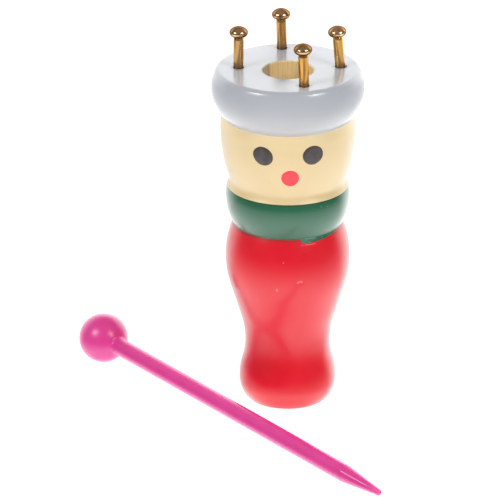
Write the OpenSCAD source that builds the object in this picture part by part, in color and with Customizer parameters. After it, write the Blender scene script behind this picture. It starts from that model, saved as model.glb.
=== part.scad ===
// Knitting nancy: a turned wooden doll with a yarn bore along its height, four ball-head brass
// pins driven into its cap, and a loose moulded needle that lies on the table beside it.
// The origin is where the bore's axis meets the doll's base. The face looks towards -Y, +Z is up.

/* [Doll] */
// Height of the turned body; the gown's long curve takes up what the other heights leave
body_h = 87.8; // [80:0.1:110]

/* [Gown] */
// Diameter of the foot, the swelling just above the table
foot_d = 24.2; // [22:0.1:28]
// How far the bottom edge lies inside the foot
foot_tuck = 1.8; // [1:0.1:3]
// Height of the foot above the bottom edge
foot_rise = 4.9; // [3.5:0.1:6]
// Radius that rounds the bottom edge into the base
base_round = 1; // [0.4:0.1:2]
// Diameter of the waist
waist_d = 21.3; // [19:0.1:21.8]
// Height of the waist above the foot
waist_rise = 10; // [7:0.1:12]
// Widest diameter of the gown, at the doll's shoulders
gown_d = 31.1; // [27:0.1:36]
// Fullness of the long curve from waist to shoulders: 1 is straight, 2 is two plain arcs
gown_fullness = 1.42; // [1.2:0.02:1.8]
// Height of the groove under the collar above the shoulders
gown_fall = 9.4; // [7:0.1:11.5]
// How far that groove lies inside the gown
collar_groove = 1.85; // [1.2:0.05:2.8]

/* [Collar] */
// Widest diameter of the collar bead
collar_d = 31; // [29:0.1:36]
// Height of the collar's widest line above its groove
collar_rise = 7.4; // [5:0.1:9]
// Height of the collar's upper edge above its widest line
collar_fall = 2.5; // [1.5:0.1:3.5]
// How far the upper edge lies inside the collar
collar_edge = 0.4; // [0.1:0.05:0.6]
// Height of the sloping yoke between the collar and the neck
yoke_h = 1.5; // [1:0.1:3]

/* [Face] */
// Widest diameter of the face
face_d = 33.7; // [32:0.1:37]
// How far the neck lies inside the face
chin_tuck = 2.4; // [2:0.1:3]
// Height of the face's widest line above the neck
face_rise = 13.7; // [10:0.1:16]
// Height of the groove under the cap above the face's widest line
face_fall = 3.2; // [2:0.1:5]
// How far that groove lies inside the face
cap_groove = 0.7; // [0.3:0.05:1.2]

/* [Cap] */
// Widest diameter of the cap
cap_d = 38.2; // [38:0.1:44]
// Height of the cap's widest line above its groove
cap_rise = 7; // [5.5:0.1:9]
// Height of the cap's upper edge above its widest line
cap_fall = 4.1; // [3:0.1:6]
// How far the upper edge lies inside the cap
cap_edge = 0.9; // [0.6:0.05:2]
// Radius that rounds the upper edge into the flat top
cap_round = 1.5; // [0.5:0.1:2]

/* [Yarn bore] */
// Diameter of the bore that the knitted cord runs down
bore_d = 12.5; // [9:0.1:14]
// How far the bore was drilled off the axis of the turning, towards the doll's face
bore_drift = 1.5; // [0:0.1:2]
// Width of the worn bevel round the bore's upper rim
bore_bevel = 0.2; // [0.1:0.05:0.6]

/* [Pins] */
// Diameter of a pin's shank
pin_d = 2.45; // [1.8:0.05:3]
// How far the neck under a pin's head lies inside the shank
pin_neck = 0.18; // [0.05:0.01:0.4]
// Height of that neck
pin_neck_h = 0.5; // [0.3:0.1:1]
// Diameter of a pin's head
pin_head_d = 4.55; // [3.6:0.05:5.5]
// Height of a pin's head
pin_head_h = 2.6; // [2.4:0.05:3]
// Height of a head's widest line above its underside
pin_head_low = 1.1; // [0.7:0.05:1.2]
// Radius that rounds a head from its widest line into its dome
pin_head_round = 0.95; // [0.6:0.05:1]
// Depth of a pin in the wood
pin_depth = 14; // [8:0.5:20]
// Length of the point at a pin's lower end
pin_point = 2; // [0.5:0.1:4]
// Height of each shank and neck above the cap: front, right, back, left
pin_stand = [8.3, 8, 7.8, 8.1]; // [6:0.1:10]
// Distance of each pin's axis inside the edge of the flat top
pin_inset = [3.7, 3.95, 2.7, 4.55]; // [2.5:0.05:6]
// Turn of each pin away from its quarter of the circle
pin_drift = [17, 4, 6, -1]; // [-18:1:18]
// Lean of each pin towards -X
pin_lean = [2, 5, 1.5, -0.5]; // [-3:0.5:6]
// Gap between a shank and the wall of its hole
pin_fit = 0.02; // [0.01:0.01:0.05]
// How far the mouth of a pin's hole opens round the shank
pin_mouth = 0.25; // [0.1:0.05:0.5]
// Depth of that mouth
pin_mouth_h = 0.6; // [0.3:0.1:1.5]

/* [Needle] */
// Length of the needle from the knob to the tip
needle_l = 116; // [90:1:150]
// Diameter of the ball knob
knob_d = 12.5; // [9:0.1:16]
// Radius of the fillet where the shaft leaves the knob
knob_fillet = 0.8; // [0.3:0.1:2]
// Diameter of the shaft
shaft_d = 4.4; // [3:0.1:6]
// Length of the tapered point
taper_l = 13.5; // [8:0.5:25]
// Radius of the rounded tip
tip_r = 0.8; // [0.4:0.05:1.2]
// Gap between the shaft and the cap's widest line, seen from above
needle_gap = 1.8; // [1:0.1:20]
// Distance of the knob behind the point where the shaft passes the doll
knob_back = 45.8; // [30:0.1:70]
// Direction of the needle from knob to tip, turned about +Z
needle_turn = -51; // [-180:1:180]

/* [Hidden] */
$fn = 144;
// Largest turn between neighbouring points on an arc
arc_step = 5;
// How far cutting shapes reach past the surface that they cut
cut = 1;

// Bow of an arc from a to b that is upright at one end, as at the widest line of a bead
function swell(a, b) = norm(b - a) / 2 * tan(atan2(abs(b[0] - a[0]), abs(b[1] - a[1])) / 2);

// Bow of a quarter circle from a to b
function quarter(a, b) = norm(b - a) * (sqrt(2) - 1) / 2;

// Bow of an arc of known radius from a to b
function bow(a, b, radius) = radius - sqrt(pow(radius, 2) - pow(norm(b - a) / 2, 2));

// Lean at the far end of an arc from a to b that is upright at one end
function end_lean(a, b) = 2 * atan2(abs(b[0] - a[0]), abs(b[1] - a[1]));

// S curve from a to b, upright at both: two equal arcs joined by a straight stretch.
// Gives its stops, each with the bow of the stretch that follows it, up to but without b
function sweep(a, b, fullness) =
    let (run = abs(b[0] - a[0]), rise = b[1] - a[1], lean = fullness * atan2(run, rise))
    let (radius = (rise * sin(lean) - run * cos(lean)) / (1 - cos(lean)) / 2)
    let (outward = sign(b[0] - a[0]), arc_bow = outward * radius * (1 - cos(lean / 2)))
    let (step = [outward * radius * (1 - cos(lean)), radius * sin(lean)])
    [[a, -arc_bow], [a + step, 0], [b - step, arc_bow]];

// Points from a up to but without b, along the arc that bows out by the given height
function arc(a, b, height) =
    let (chord = norm(b - a), along = (b - a) / chord, out = [along[1], -along[0]])
    let (half = 2 * atan(2 * height / chord), steps = max(1, ceil(2 * abs(half) / arc_step)))
    let (radius = height == 0 ? 0 : chord / (2 * sin(half)))
    height == 0 ? [a] : [
        for (i = [0 : steps - 1])
            let (turn = half * (2 * i / steps - 1))
            a + along * (chord / 2 + radius * sin(turn)) + out * radius * (cos(turn) - cos(half))
    ];

// Outline through stops, each a point and the bow of the stretch to the next one
function outline(stops) =
    let (last = len(stops) - 1)
    [for (i = [0 : last]) each i < last ? arc(stops[i][0], stops[i + 1][0], stops[i][1]) : [stops[i][0]]];

// Fullness of the short curve from the foot to the waist
foot_fullness = 1.9;

// Points of the turned body: the foot and the waist from the table up, the rest from the top down
foot_r = foot_d / 2;
base_turn = 90 - end_lean([foot_r - foot_tuck, 0], [foot_r, foot_rise]);
foot_edge = [foot_r - foot_tuck, base_round * (1 - cos(base_turn))];
base_edge = [foot_edge[0] - base_round * sin(base_turn), 0];
foot = [foot_r, foot_edge[1] + foot_rise];
waist = [waist_d / 2, foot[1] + waist_rise];
cap_r = cap_d / 2;
cap_turn = 90 - end_lean([cap_r, 0], [cap_r - cap_edge, cap_fall]);
cap_side = [cap_r - cap_edge, body_h - cap_round * (1 - cos(cap_turn))];
top_edge = [cap_side[0] - cap_round * sin(cap_turn), body_h];
brim = [cap_r, cap_side[1] - cap_fall];
under_cap = [face_d / 2 - cap_groove, brim[1] - cap_rise];
cheek = [face_d / 2, under_cap[1] - face_fall];
neck = [face_d / 2 - chin_tuck, cheek[1] - face_rise];
neckline = [collar_d / 2 - collar_edge, neck[1] - yoke_h];
collar = [collar_d / 2, neckline[1] - collar_fall];
under_collar = [gown_d / 2 - collar_groove, collar[1] - collar_rise];
shoulder = [gown_d / 2, under_collar[1] - gown_fall];

// The four painted bands, from the table up
gown_stops = concat(
    [[base_edge, bow(base_edge, foot_edge, base_round)], [foot_edge, swell(foot_edge, foot)]],
    sweep(foot, waist, foot_fullness),
    sweep(waist, shoulder, gown_fullness),
    [[shoulder, swell(shoulder, under_collar)], [under_collar, 0]]
);
collar_stops = [
    [under_collar, swell(under_collar, collar)],
    [collar, swell(collar, neckline)],
    [neckline, 0]
];
face_stops = [
    [neckline, 0],
    [neck, swell(neck, cheek)],
    [cheek, swell(cheek, under_cap)],
    [under_cap, 0]
];
cap_stops = [
    [under_cap, swell(under_cap, brim)],
    [brim, swell(brim, cap_side)],
    [cap_side, bow(cap_side, top_edge, cap_round)],
    [top_edge, 0]
];
paint_bands = [
    ["#d8202c", gown_stops],
    ["#2b684b", collar_stops],
    ["#f2d9a8", face_stops],
    ["#b4bac4", cap_stops]
];
bare_wood = "#c8a55f";

// Pin, with the cap's surface at height 0 and a head whose edge runs tangent into a low dome
head_core_r = pin_head_d / 2 - pin_head_round;
dome_h = pin_head_h - pin_head_low;
dome_r = (pow(head_core_r, 2) + pow(dome_h, 2) - pow(pin_head_round, 2)) / (2 * (dome_h - pin_head_round));
dome_lean = asin(head_core_r / (dome_r - pin_head_round));

function pin_stops(stand) =
    let (under_head = [pin_d / 2 - pin_neck, stand], edge = [pin_head_d / 2, stand + pin_head_low])
    let (apex = [0, stand + pin_head_h])
    let (crown = apex + dome_r * [sin(dome_lean), cos(dome_lean) - 1])
    [
        [[0, -pin_depth], 0],
        [[pin_d / 2, pin_point - pin_depth], 0],
        [[pin_d / 2, stand - pin_neck_h], 0],
        [under_head, quarter(under_head, edge)],
        [edge, bow(edge, crown, pin_head_round)],
        [crown, bow(crown, apex, dome_r)],
        [apex, 0]
    ];

// Needle, with the knob's centre at height 0 and its shaft filleted into the knob
knob_r = knob_d / 2;
shaft_r = shaft_d / 2;
fillet_z = sqrt(pow(knob_r + knob_fillet, 2) - pow(shaft_r + knob_fillet, 2));
fillet_start = [shaft_r + knob_fillet, fillet_z] * knob_r / (knob_r + knob_fillet);
fillet_end = [shaft_r, fillet_z];
tip_end = [0, needle_l - knob_r];
shaft_end = [shaft_r, tip_end[1] - taper_l];
tip_centre = [0, tip_end[1] - tip_r];
taper_run = tip_centre[1] - shaft_end[1];
taper_lean = atan2(shaft_r, taper_run) - asin(tip_r / norm([shaft_r, taper_run]));
tip_start = tip_centre + tip_r * [cos(taper_lean), sin(taper_lean)];
needle_stops = [
    [[0, -knob_r], bow([0, -knob_r], [knob_r, 0], knob_r)],
    [[knob_r, 0], bow([knob_r, 0], fillet_start, knob_r)],
    [fillet_start, -bow(fillet_start, fillet_end, knob_fillet)],
    [fillet_end, 0],
    [shaft_end, 0],
    [tip_start, bow(tip_start, tip_end, tip_r)],
    [tip_end, 0]
];

// The needle lies on its knob and on the edge where its taper starts
needle_tilt = asin(knob_r / norm(shaft_end)) - atan2(shaft_end[0], shaft_end[1]);
needle_line = cap_r + needle_gap + shaft_r;

// Solid of revolution from the axis out to an outline
module turned(stops) {
    points = outline(stops);
    foot_point = [0, points[0][1]];
    head_point = [0, points[len(points) - 1][1]];
    rotate_extrude() polygon(concat([foot_point], points, [head_point]));
}

// Moves children from the bore's axis to the axis of the turning
module on_turning() {
    translate([0, bore_drift, 0]) children();
}

// Moves children from the cap's surface at the turning's axis to the place and lean of one pin
module at_pin(i) {
    azimuth = 90 * (i - 1) + pin_drift[i];
    reach = top_edge[0] - pin_inset[i];
    on_turning()
        translate([reach * cos(azimuth), reach * sin(azimuth), body_h])
        rotate([0, -pin_lean[i], 0])
        children();
}

// Hole for one pin, with an opened mouth at the cap's surface
module pin_hole() {
    hole_r = pin_d / 2 + pin_fit;
    mouth_r = hole_r + pin_mouth;
    translate([0, 0, -pin_depth]) cylinder(r = hole_r, h = pin_depth + cut);
    translate([0, 0, -pin_mouth_h]) cylinder(r1 = hole_r, r2 = mouth_r, h = pin_mouth_h);
    cylinder(r = mouth_r, h = cut);
}

// Bore right through the doll, bevelled at its upper rim
module yarn_bore() {
    translate([0, 0, -cut]) cylinder(d = bore_d, h = body_h + 2 * cut);
    translate([0, 0, body_h - bore_bevel])
        cylinder(d1 = bore_d, d2 = bore_d + 4 * bore_bevel, h = 2 * bore_bevel);
}

// Doll's body, turned from one piece of wood and painted in bands
module turned_body() {
    difference() {
        on_turning() {
            for (band = paint_bands) color(band[0]) turned(band[1]);
        }
        color(bare_wood) yarn_bore();
        for (i = [0 : 3]) color(bare_wood) at_pin(i) pin_hole();
    }
}

// Ball-head pin that holds a loop of yarn
module pin(i) {
    color("#be8c3c") at_pin(i) turned(pin_stops(pin_stand[i]));
}

// Loose needle that lifts the loops over the pins
module needle() {
    color("#e43e91")
        on_turning()
        rotate([0, 0, needle_turn])
        translate([-knob_back, -needle_line, knob_r])
        rotate([0, 90 + needle_tilt, 0])
        turned(needle_stops);
}

turned_body();
pin(0);  // pin_front
pin(1);  // pin_right
pin(2);  // pin_back
pin(3);  // pin_left
needle();
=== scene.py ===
"""Looks of a knitting nancy: paint, bare wood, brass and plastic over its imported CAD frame.

The doll is a wooden core under four bands of paint. Sizes are in millimetres, as in the CAD source, and
become metres when a mesh or a material is made. Shapes are built about the axis of the turning, which lies
behind the axis of the bore, and are moved there when they become pieces. Azimuths run from the front of the
doll (-Y) towards +X. Colours are linear red, green and blue.
"""

import math

import bmesh
import bpy
from mathutils import Matrix, Vector, geometry, noise


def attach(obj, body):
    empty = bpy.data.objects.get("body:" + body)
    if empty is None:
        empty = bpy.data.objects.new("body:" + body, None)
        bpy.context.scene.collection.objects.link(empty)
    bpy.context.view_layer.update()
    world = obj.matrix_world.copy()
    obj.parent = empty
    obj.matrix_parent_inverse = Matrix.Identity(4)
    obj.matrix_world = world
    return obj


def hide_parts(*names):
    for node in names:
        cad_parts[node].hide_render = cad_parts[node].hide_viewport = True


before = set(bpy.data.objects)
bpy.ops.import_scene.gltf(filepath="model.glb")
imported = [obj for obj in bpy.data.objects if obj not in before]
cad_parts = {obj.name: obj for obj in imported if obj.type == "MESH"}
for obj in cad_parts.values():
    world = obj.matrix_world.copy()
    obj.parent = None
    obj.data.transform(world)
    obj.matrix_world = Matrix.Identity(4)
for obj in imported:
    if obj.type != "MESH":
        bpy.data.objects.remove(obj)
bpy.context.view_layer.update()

MM = 0.001

# Turned section of the doll: radius and height of each of its points
BASE_EDGE = (9.538, 0.0)
FOOT_EDGE = (10.3, 0.353)
FOOT = (12.1, 5.253)
WAIST = (10.65, 15.253)
SHOULDER = (15.55, 38.128)
UNDER_COLLAR = (13.7, 47.528)
COLLAR = (15.5, 54.928)
NECKLINE = (15.1, 57.428)
NECK = (14.45, 58.928)
CHEEK = (16.85, 72.628)
UNDER_CAP = (16.15, 75.828)
BRIM = (19.1, 82.828)
CAP_SIDE = (18.2, 86.928)
TOP_EDGE = (16.838, 87.8)
BODY_H = TOP_EDGE[1]
BASE_ROUND = 1.0
CAP_ROUND = 1.5
FOOT_FULLNESS = 1.9
GOWN_FULLNESS = 1.42
BORE_R = 6.25
BORE_BEVEL = 0.2
BORE_DRIFT = 1.5

# Pins: front, right, back, left
PIN_NODES = ("pin_front", "pin_right", "pin_back", "pin_left")
PIN_R = 1.225
PIN_NECK = 0.18
PIN_NECK_H = 0.5
PIN_HEAD_R = 2.275
PIN_HEAD_H = 2.6
PIN_HEAD_LOW = 1.1
PIN_HEAD_ROUND = 0.95
PIN_DEPTH = 14.0
PIN_POINT = 2.0
# Height under each head, distance from the top's edge, and in degrees drift from its quarter and lean
PIN_STAND = (8.3, 8.0, 7.8, 8.1)
PIN_INSET = (3.7, 3.95, 2.7, 4.55)
PIN_DRIFT = (17, 4, 6, -1)
PIN_LEAN = (2, 5, 1.5, -0.5)
# Worn mouth of each hole, and the fit of the shank in the wood
PIN_MOUTH = 0.27
PIN_MOUTH_H = 0.6
PIN_FIT = 0.02
SOCKET_WALL = 0.2

# Needle
NEEDLE_L = 116.0
KNOB_R = 6.25
KNOB_FILLET = 0.8
SHAFT_R = 2.2
TAPER_L = 13.5
TIP_R = 0.8
SHAFT_END = NEEDLE_L - KNOB_R - TAPER_L
# Where it lies: how far its line passes from the doll's axis, how far back its knob is, and its direction
NEEDLE_LINE = 23.1
KNOB_BACK = 45.8
NEEDLE_TURN = math.radians(-51)

# Fineness of the meshes
ARC_STEP = math.radians(3)
LONGEST_STEP = 0.34
DOLL_SEGMENTS = 480
PIN_SEGMENTS = 64
NEEDLE_SEGMENTS = 160
HOLE_SEGMENTS = 48
RIM_SEGMENTS = 120
BORE_STEPS = 60
CREASE_STEPS = 16
LAP_STEPS = 10
DOT_RINGS = 14
DOT_SEGMENTS = 72
# Hidden faces keep only each fifth or each fourth point of an outline
INNER_STEP = 5
CORE_STEP = 4
SHARP = math.radians(38)
# Keeps the smooth visual shapes inside the box of the faceted CAD meshes
SNUG = 0.9999
# In metres: vertices this close become one, and edges this short go
WELD = 1e-7
SLIVER = 1e-8

# Paint films, the wood below them, and the edges that lap over the band below
FILM = 0.16
CORE_DEPTH = 0.14
LAP_LIFT = 0.012
LAP_CREST = 1.2
LAP_CREST_POWER = 0.7
LAP_THINNING = 0.3
EDGE_POWER = 8
FACE_LAP = 0.2
FACE_LIFT = 0.015
CAP_LAP = 0.05
# Heights below and above a crease over which paint has settled in it
NECK_FILL = (0.75, 1.0)
BROW_FILL = (0.28, 0.24)

# Outlines


def swell(a, b):
    """Bow of an arc from a to b that is upright at one end, as at the widest line of a bead."""
    run, rise = abs(b[0] - a[0]), abs(b[1] - a[1])
    return math.dist(a, b) / 2 * math.tan(math.atan2(run, rise) / 2)


def quarter(a, b):
    """Bow of a quarter circle from a to b."""
    return math.dist(a, b) * (math.sqrt(2) - 1) / 2


def rounding(a, b, radius):
    """Bow of an arc of known radius from a to b."""
    return radius - math.sqrt(radius**2 - (math.dist(a, b) / 2) ** 2)


def sweep(a, b, fullness):
    """Stops of an S curve from a to b, upright at both: two equal arcs joined by a straight stretch."""
    run, rise = abs(b[0] - a[0]), b[1] - a[1]
    lean = fullness * math.atan2(run, rise)
    radius = (rise * math.sin(lean) - run * math.cos(lean)) / (1 - math.cos(lean)) / 2
    outward = math.copysign(1, b[0] - a[0])
    bow = outward * radius * (1 - math.cos(lean / 2))
    step_r, step_z = outward * radius * (1 - math.cos(lean)), radius * math.sin(lean)
    return [(a, -bow), ((a[0] + step_r, a[1] + step_z), 0), ((b[0] - step_r, b[1] - step_z), bow)]


def arc(a, b, bow):
    """Points from a up to but without b, on the arc that bows out by that height."""
    chord = math.dist(a, b)
    along_r, along_z = (b[0] - a[0]) / chord, (b[1] - a[1]) / chord
    half = 2 * math.atan(2 * bow / chord)
    steps = max(math.ceil(2 * abs(half) / ARC_STEP), math.ceil(chord / LONGEST_STEP))
    points = []
    for i in range(steps):
        on, out = chord * i / steps, 0
        if bow:
            turn, radius = half * (2 * i / steps - 1), chord / (2 * math.sin(half))
            on = chord / 2 + radius * math.sin(turn)
            out = radius * (math.cos(turn) - math.cos(half))
        points.append((a[0] + along_r * on + along_z * out, a[1] + along_z * on - along_r * out))
    return points


def outline(stops):
    """Outline through stops, each a point and the bow of the stretch to the next one."""
    points = []
    for (a, bow), (b, _) in zip(stops, stops[1:]):
        points += arc(a, b, bow)
    return points + [stops[-1][0]]


def radius_at(points, height):
    """Radius of an outline that runs up, at a height."""
    for (r0, z0), (r1, z1) in zip(points, points[1:]):
        if z0 <= height <= z1:
            return r0 + (r1 - r0) * (height - z0) / (z1 - z0)


def settled(points, corner, down, up):
    """Outline with the crease at a corner filled by paint, over those heights below and above it."""
    low = (radius_at(points, corner[1] - down), corner[1] - down)
    high = (radius_at(points, corner[1] + up), corner[1] + up)
    curve = []
    for i in range(CREASE_STEPS + 1):
        share = i / CREASE_STEPS
        weights = ((1 - share) ** 2, 2 * share * (1 - share), share**2)
        curve.append(tuple(sum(w * p[k] for w, p in zip(weights, (low, corner, high))) for k in (0, 1)))
    return [p for p in points if p[1] < low[1]] + curve + [p for p in points if p[1] > high[1]]


def normals(points):
    """Outward unit normals of an outline that runs up, with the wood on its inner side."""
    found = []
    for i in range(len(points)):
        a, b = points[max(i - 1, 0)], points[min(i + 1, len(points) - 1)]
        length = math.dist(a, b)
        found.append(((b[1] - a[1]) / length, (a[0] - b[0]) / length))
    return found


def offset(points, distance):
    """Outline moved outwards by a distance, or inwards by a negative one."""
    return [(p[0] + n[0] * distance, p[1] + n[1] * distance) for p, n in zip(points, normals(points))]


def film(points, under=None):
    """Closed section of a paint film whose outer face is the outline, with a coarser inner face."""
    inner = offset(under or points, -FILM)
    return points + [inner[-1]] + inner[-2:0:-INNER_STEP] + [inner[0]]


def down_from_top(points, distance):
    """Point and outward normal at a distance below the upper end of an outline."""
    left = distance
    for i in range(len(points) - 1, 0, -1):
        b, a = points[i], points[i - 1]
        length = math.dist(a, b)
        if left <= length or i == 1:
            share = left / length
            point = (b[0] + (a[0] - b[0]) * share, b[1] + (a[1] - b[1]) * share)
            return point, ((b[1] - a[1]) / length, (a[0] - b[0]) / length)
        left -= length


def lap(under, reach, lift=LAP_LIFT):
    """Upper face of paint that laps over the upper end of another band, from its thin edge upwards."""
    points = []
    for i in range(LAP_STEPS):
        share = 1 - i / LAP_STEPS
        (r, z), (out_r, out_z) = down_from_top(under, reach * share)
        crest = LAP_CREST * math.sin(math.pi * share) ** LAP_CREST_POWER
        height = lift * (crest - LAP_THINNING * share**EDGE_POWER)
        points.append((r + out_r * height, z + out_z * height))
    return points


def ease(low, high, value):
    """Share that goes smoothly from 0 to 1 as a value goes from low to high."""
    share = min(1.0, max(0.0, (value - low) / (high - low)))
    return share * share * (3 - 2 * share)


GOWN = outline(
    [(BASE_EDGE, rounding(BASE_EDGE, FOOT_EDGE, BASE_ROUND)), (FOOT_EDGE, swell(FOOT_EDGE, FOOT))]
    + sweep(FOOT, WAIST, FOOT_FULLNESS)
    + sweep(WAIST, SHOULDER, GOWN_FULLNESS)
    + [(SHOULDER, swell(SHOULDER, UNDER_COLLAR)), (UNDER_COLLAR, 0)]
)
COLLAR_BEAD = outline(
    [(UNDER_COLLAR, swell(UNDER_COLLAR, COLLAR)), (COLLAR, swell(COLLAR, NECKLINE)), (NECKLINE, 0)]
)
TURNED_HEAD = outline(
    [(NECKLINE, 0), (NECK, swell(NECK, CHEEK)), (CHEEK, swell(CHEEK, UNDER_CAP)),
     (UNDER_CAP, swell(UNDER_CAP, BRIM)), (BRIM, swell(BRIM, CAP_SIDE)),
     (CAP_SIDE, rounding(CAP_SIDE, TOP_EDGE, CAP_ROUND)), (TOP_EDGE, 0)]
)
HEAD = settled(settled(TURNED_HEAD, NECK, *NECK_FILL), UNDER_CAP, *BROW_FILL)
BROW = min(HEAD, key=lambda p: math.dist(p, UNDER_CAP))
FACE = HEAD[: HEAD.index(BROW) + 1]
CAP = HEAD[HEAD.index(BROW):]

# Meshes


def turn_about_axis(section, segments):
    """Vertices and faces of a section turned about +Z; section is a loop, or gives one for an azimuth."""
    at = section if callable(section) else lambda azimuth: section
    verts, faces = [], []
    for i in range(segments):
        azimuth = 2 * math.pi * i / segments
        side, front = math.sin(azimuth) * MM, -math.cos(azimuth) * MM
        verts += [(r * side, r * front, z * MM) for r, z in at(azimuth)]
    count = len(verts) // segments
    for i in range(segments):
        here, there = i * count, (i + 1) % segments * count
        faces += [
            (here + j, there + j, there + (j + 1) % count, here + (j + 1) % count) for j in range(count)
        ]
    return verts, faces


def open_turning(section, segments):
    """Vertices and faces of a turned section that stays open between its last point and its first."""
    verts, faces = turn_about_axis(section, segments)
    count = len(verts) // segments
    return verts, [face for k, face in enumerate(faces) if k % count != count - 1]


def flipped(verts, faces):
    """Mesh with its faces turned round."""
    return verts, [face[::-1] for face in faces]


def joined(*meshes):
    """One mesh made of several."""
    verts, faces = [], []
    for some_verts, some_faces in meshes:
        start = len(verts)
        verts += some_verts
        faces += [tuple(start + v for v in face) for face in some_faces]
    return verts, faces


def placed(verts, faces, matrix):
    """Mesh moved by a matrix."""
    return [matrix @ Vector(v) for v in verts], faces


def piece(name, verts, faces, body, material, slot, replaced=()):
    """Object made of a mesh about the turning's axis, welded and smooth, riding on a body of the frame."""
    mesh = bpy.data.meshes.new(name)
    mesh.from_pydata([(x * SNUG, y * SNUG + BORE_DRIFT * MM, z * SNUG) for x, y, z in verts], [], faces)
    work = bmesh.new()
    work.from_mesh(mesh)
    bmesh.ops.remove_doubles(work, verts=work.verts, dist=WELD)
    bmesh.ops.dissolve_degenerate(work, edges=work.edges, dist=SLIVER)
    work.to_mesh(mesh)
    work.free()
    mesh.shade_smooth()
    mesh.set_sharp_from_angle(angle=SHARP)
    mesh.materials.append(material)
    made = bpy.data.objects.new(name, mesh)
    bpy.context.scene.collection.objects.link(made)
    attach(made, body)
    if replaced:
        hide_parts(*replaced)
    return made


def pin_foot(i):
    """Place of a pin's axis on the flat top, from the axis of the turning."""
    azimuth = math.radians(90 * (i - 1) + PIN_DRIFT[i])
    reach = TOP_EDGE[0] - PIN_INSET[i]
    return reach * math.cos(azimuth), reach * math.sin(azimuth)


def pin_matrix(i):
    """Place and lean of a pin, from the cap's surface at the axis, in metres."""
    x, y = pin_foot(i)
    place = Matrix.Translation((x * MM, y * MM, BODY_H * MM))
    return place @ Matrix.Rotation(math.radians(-PIN_LEAN[i]), 4, "Y")


# Shader nodes


def feed(tree, made, values):
    """Sets the inputs of a node, or links them where a value is a socket."""
    for key, value in values.items():
        if isinstance(value, bpy.types.NodeSocket):
            tree.links.new(value, made.inputs[key])
        else:
            made.inputs[key].default_value = value


def node(tree, kind, values=None, **settings):
    """New shader node, with its settings, and with values or links for its inputs."""
    made = tree.nodes.new(kind)
    for key, value in settings.items():
        setattr(made, key, value)
    feed(tree, made, values or {})
    return made


def start_material(name):
    """Material, its node tree, its shader and its object coordinates."""
    material = bpy.data.materials.new(name)
    material.use_nodes = True
    tree = material.node_tree
    place = node(tree, "ShaderNodeTexCoord").outputs["Object"]
    return material, tree, tree.nodes["Principled BSDF"], place


def calculated(tree, operation, first, second):
    """Result of a calculation with two values."""
    return node(tree, "ShaderNodeMath", {0: first, 1: second}, operation=operation).outputs[0]


def largest(tree, first, *others):
    """The largest of some values."""
    for other in others:
        first = calculated(tree, "MAXIMUM", first, other)
    return first


def product(tree, first, *others):
    """Product of some values."""
    for other in others:
        first = calculated(tree, "MULTIPLY", first, other)
    return first


def vector_math(tree, operation, *values):
    """Result of a calculation with vectors, which is a vector or a value."""
    made = node(tree, "ShaderNodeVectorMath", dict(enumerate(values)), operation=operation)
    return next(o for o in made.outputs if o.enabled)


def axis_value(tree, vector, axis):
    """One component of a vector."""
    return node(tree, "ShaderNodeSeparateXYZ", {"Vector": vector}).outputs[axis]


def looking_up(tree):
    """How far the surface looks up, from -1 to 1."""
    return axis_value(tree, node(tree, "ShaderNodeNewGeometry").outputs["Normal"], "Z")


def turned_away(tree):
    """How far the surface turns away from the one who looks, from 0 to 1."""
    return node(tree, "ShaderNodeLayerWeight").outputs["Facing"]


def spread(tree, value, low, high, to_low, to_high):
    """Value mapped smoothly from one range to another."""
    ranges = {"From Min": low, "From Max": high, "To Min": to_low, "To Max": to_high}
    made = node(tree, "ShaderNodeMapRange", {"Value": value, **ranges}, interpolation_type="SMOOTHSTEP")
    return made.outputs["Result"]


def fade(tree, length, span, start, end):
    """Value that goes smoothly from start to end while a length crosses a span of millimetres."""
    return spread(tree, length, span[0] * MM, span[1] * MM, start, end)


def grain(tree, place, waves, detail, stretch):
    """Noise from 0 to 1 with that many waves to a millimetre, drawn out along +Z by a factor."""
    scale = (waves / MM, waves / MM, waves / MM / stretch)
    moved = node(tree, "ShaderNodeMapping", {"Vector": place, "Scale": scale}).outputs["Vector"]
    values = {"Vector": moved, "Scale": 1.0, "Detail": detail}
    return node(tree, "ShaderNodeTexNoise", values).outputs["Fac"]


def mottle(tree, place, pattern, start, end):
    """Uneven value from start to end, by a pattern: a grain and the part of its range that counts."""
    *settings, low, high = pattern
    return spread(tree, grain(tree, place, *settings), low, high, start, end)


def blend(tree, share, first, second):
    """Colour that goes from the first to the second as share goes from 0 to 1."""
    mix = node(tree, "ShaderNodeMix", data_type="RGBA")
    inputs = [i for i in mix.inputs if i.enabled]
    for socket, value in zip(inputs, (share, first, second)):
        if isinstance(value, bpy.types.NodeSocket):
            tree.links.new(value, socket)
        else:
            socket.default_value = (*value, 1.0)
    return next(o for o in mix.outputs if o.enabled)


def bump(tree, height, distance):
    """Normal from a height that spans that many millimetres."""
    return node(tree, "ShaderNodeBump", {"Height": height, "Distance": distance * MM}).outputs["Normal"]


# Paint: a grain is waves to a millimetre, detail and stretch; a pattern adds the range that counts
BAND_PATCHES = (0.12, 3.0, 1.6, 0.3, 0.75)
DOT_PATCHES = (0.5, 3.0, 1.6, 0.3, 0.75)
PAINT_GLOSS = (0.3, 2.0, 1.0, 0.3, 0.7)
PAINT_PEEL = (0.6, 2.0, 1.0)
PEEL_DEPTH = 0.001
# How far the roughness of a gloss strays from its mean
GLOSS_RANGE = (0.92, 1.1)
# How far a surface turns away where its colour is darkened as painted shade
EDGE_SHADE_TURN = (0.35, 0.95)
# Where a surface starts to look up or down, and its shine between the two
LOOKS_UP = (0.22, 0.5)
LOOKS_DOWN = (-0.6, 0.0)
SIDE_SHINE = 0.05


def uneven_gloss(tree, place, pattern, rough):
    """Roughness that strays a little from its mean."""
    return mottle(tree, place, pattern, rough * GLOSS_RANGE[0], rough * GLOSS_RANGE[1])


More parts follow.
